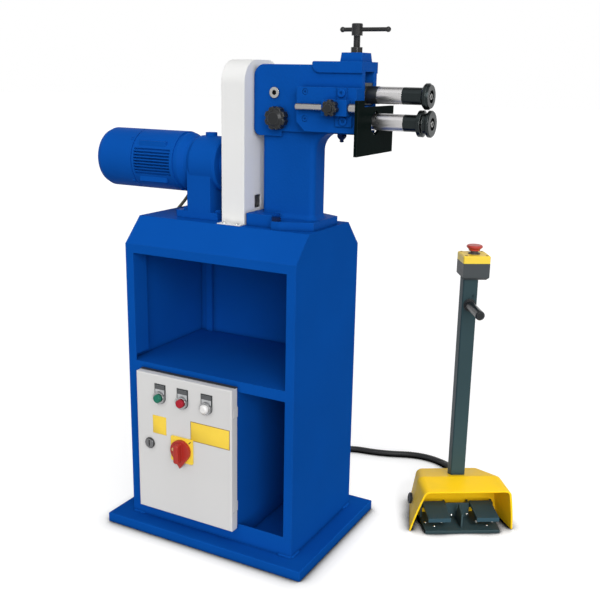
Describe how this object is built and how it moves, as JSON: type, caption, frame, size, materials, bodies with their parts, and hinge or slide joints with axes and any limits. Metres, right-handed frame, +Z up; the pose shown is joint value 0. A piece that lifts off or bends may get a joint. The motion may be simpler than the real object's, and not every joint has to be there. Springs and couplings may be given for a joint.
{
  "type": "electric bead roller",
  "caption": "Motor-driven bead roller on a sheet steel stand: geared shafts with bead rolls, pressure screw, back stop, control enclosure and a separate foot station with stop button.",
  "frame": {"origin": "under the middle of the base plate, on the floor", "axes": "+X towards the rolls, +Y to the back of the machine, +Z up"},
  "size_m": [0.9971, 0.7637, 1.189],
  "materials": {
    "blue_enamel": "smooth blue enamel",
    "blue_casting": "blue enamel on casting skin",
    "guard_white": "satin white enamel",
    "enclosure_grey": "light grey powder coat",
    "zinc": "zinc plated",
    "chrome": "bright",
    "green_plastic": "moulded",
    "red_plastic": "moulded",
    "lamp_white": "translucent moulding",
    "yellow_plastic": "moulded",
    "yellow_shell": "moulded",
    "ground_steel": "ground",
    "dark_steel": "blackened and oiled",
    "black_enamel": "gloss black enamel",
    "anthracite": "satin anthracite powder coat",
    "black_plastic": "moulded",
    "bronze": "turned",
    "cable_black": "smooth sheath",
    "lead_grey": "smooth sheath"
  },
  "bodies": {
    "stand": {"base_plate": "blue_enamel", "left_panel": "blue_enamel", "right_panel": "blue_enamel", "back_panel": "blue_enamel", "front_frame": "blue_enamel", "top_cover": "blue_enamel", "shelf": "blue_enamel", "bay_divider": "blue_enamel", "enclosure_box": "enclosure_grey", "control_gear": "zinc", "motor_frame": "blue_enamel", "fan_cowl": "blue_enamel", "gearbox_housing": "blue_enamel", "drive_chain": "dark_steel", "chain_guard": "guard_white", "head_casting": "blue_casting", "stop_bracket": "blue_casting", "hex_bolts": "dark_steel", "lower_bushes": "bronze", "trunnion_screws": "ground_steel", "lift_spring": "ground_steel", "screw_nut": "dark_steel", "foot_base": "black_enamel", "foot_hood": "yellow_shell", "pole": "anthracite", "grip": "black_plastic", "estop_box": "black_plastic", "estop_lid": "yellow_plastic", "cable_glands": "black_plastic", "pedal_cable": "cable_black", "motor_lead": "lead_grey"},
    "door": {"enclosure_door": "enclosure_grey", "button_bezels": "chrome", "pilot_lamp": "lamp_white", "switch_plate": "yellow_plastic"},
    "start_button": {"start_button": "green_plastic"},
    "stop_button": {"stop_button": "red_plastic"},
    "switch_handle": {"switch_handle": "red_plastic"},
    "door_lock": {"door_lock": "chrome"},
    "lower_line": {"lower_shaft": "ground_steel", "lower_gear": "dark_steel", "lower_roll": "dark_steel", "driven_sprocket": "dark_steel"},
    "output_line": {"output_shaft": "ground_steel", "drive_sprocket": "dark_steel"},
    "rocker": {"rear_block": "dark_steel", "front_block": "dark_steel"},
    "upper_line": {"upper_shaft": "ground_steel", "upper_gear": "dark_steel", "upper_roll": "dark_steel"},
    "pad": {"pressure_pad": "ground_steel"},
    "screw": {"pressure_screw": "dark_steel"},
    "tommy_bar": {"tommy_bar": "dark_steel"},
    "stop": {"stop_rod": "ground_steel", "stop_plate": "black_enamel"},
    "stop_knob": {"stop_knob": "black_plastic"},
    "shaft_knob": {"shaft_knob": "black_plastic"},
    "left_pedal": {"left_pedal": "anthracite"},
    "right_pedal": {"right_pedal": "anthracite"},
    "estop_button": {"estop_button": "red_plastic"}
  },
  "joints": [
    {"name": "lower_spin", "type": "hinge", "parent": "stand", "child": "lower_line", "pos_m": [0.2, 0, 0.993], "axis": [1, 0, 0], "continuous": true, "deforming": ["drive_chain"]},
    {"name": "output_spin", "type": "hinge", "parent": "stand", "child": "output_line", "pos_m": [0, 0, 0.88187], "axis": [1, 0, 0], "continuous": true},
    {"name": "upper_tilt", "type": "hinge", "parent": "stand", "child": "rocker", "pos_m": [0.103, 0, 1.047], "axis": [0, -1, 0], "range_deg": [0, 2.21], "deforming": ["lift_spring"]},
    {"name": "upper_spin", "type": "hinge", "parent": "rocker", "child": "upper_line", "pos_m": [0.2, 0, 1.047], "axis": [1, 0, 0], "continuous": true},
    {"name": "pad_slide", "type": "slide", "parent": "stand", "child": "pad", "axis": [0, 0, 1], "range_m": [0, 0.0068]},
    {"name": "screw_turn", "type": "hinge", "parent": "pad", "child": "screw", "pos_m": [0.276, 0, 1.1], "axis": [0, 0, 1], "range_deg": [0, 1206]},
    {"name": "bar_slide", "type": "slide", "parent": "screw", "child": "tommy_bar", "axis": [1, 0, 0], "range_m": [-0.051, 0.015]},
    {"name": "stop_slide", "type": "slide", "parent": "stand", "child": "stop", "axis": [1, 0, 0], "range_m": [-0.0025, 0.075]},
    {"name": "stop_knob_turn", "type": "hinge", "parent": "stand", "child": "stop_knob", "pos_m": [0.264, -0.09, 1.021], "axis": [0, -1, 0], "range_deg": [0, 540]},
    {"name": "shaft_knob_turn", "type": "hinge", "parent": "stand", "child": "shaft_knob", "pos_m": [0.116, -0.05, 0.994], "axis": [0, -1, 0], "range_deg": [0, 720]},
    {"name": "door_swing", "type": "hinge", "parent": "stand", "child": "door", "pos_m": [0.0778, -0.167, 0.233], "axis": [0, 0, 1], "range_deg": [0, 100]},
    {"name": "start_press", "type": "slide", "parent": "door", "child": "start_button", "axis": [0, 1, 0], "range_m": [0, 0.004], "stiffness_N_per_m": 700, "springref_m": -0.003},
    {"name": "stop_press", "type": "slide", "parent": "door", "child": "stop_button", "axis": [0, 1, 0], "range_m": [0, 0.004], "stiffness_N_per_m": 700, "springref_m": -0.003},
    {"name": "switch_turn", "type": "hinge", "parent": "door", "child": "switch_handle", "pos_m": [-0.054, -0.18, 0.2345], "axis": [0, -1, 0], "range_deg": [-90, 0]},
    {"name": "lock_turn", "type": "hinge", "parent": "door", "child": "door_lock", "pos_m": [-0.147, -0.17, 0.232], "axis": [0, -1, 0], "range_deg": [0, 90]},
    {"name": "left_press", "type": "hinge", "parent": "stand", "child": "left_pedal", "pos_m": [0.42278, 0.22867, 0.036], "axis": [0.848, 0.5299, 0], "range_deg": [0, 8], "stiffness_Nm_per_rad": 8, "springref_deg": -6.88},
    {"name": "right_press", "type": "hinge", "parent": "stand", "child": "right_pedal", "pos_m": [0.52455, 0.29226, 0.036], "axis": [0.848, 0.5299, 0], "range_deg": [0, 8], "stiffness_Nm_per_rad": 8, "springref_deg": -6.88},
    {"name": "estop_press", "type": "slide", "parent": "stand", "child": "estop_button", "axis": [0, 0, -1], "range_m": [0, 0.005]}
  ],
  "couplings": [
    {"joint": "output_spin", "follows": "lower_spin", "ratio": 1},
    {"joint": "upper_spin", "follows": "lower_spin", "ratio": -1},
    {"joint": "pad_slide", "follows": "screw_turn", "m_per_rad": 0.00031831},
    {"joint": "upper_tilt", "follows": "screw_turn", "ratio": 0.0018242}
  ]
}
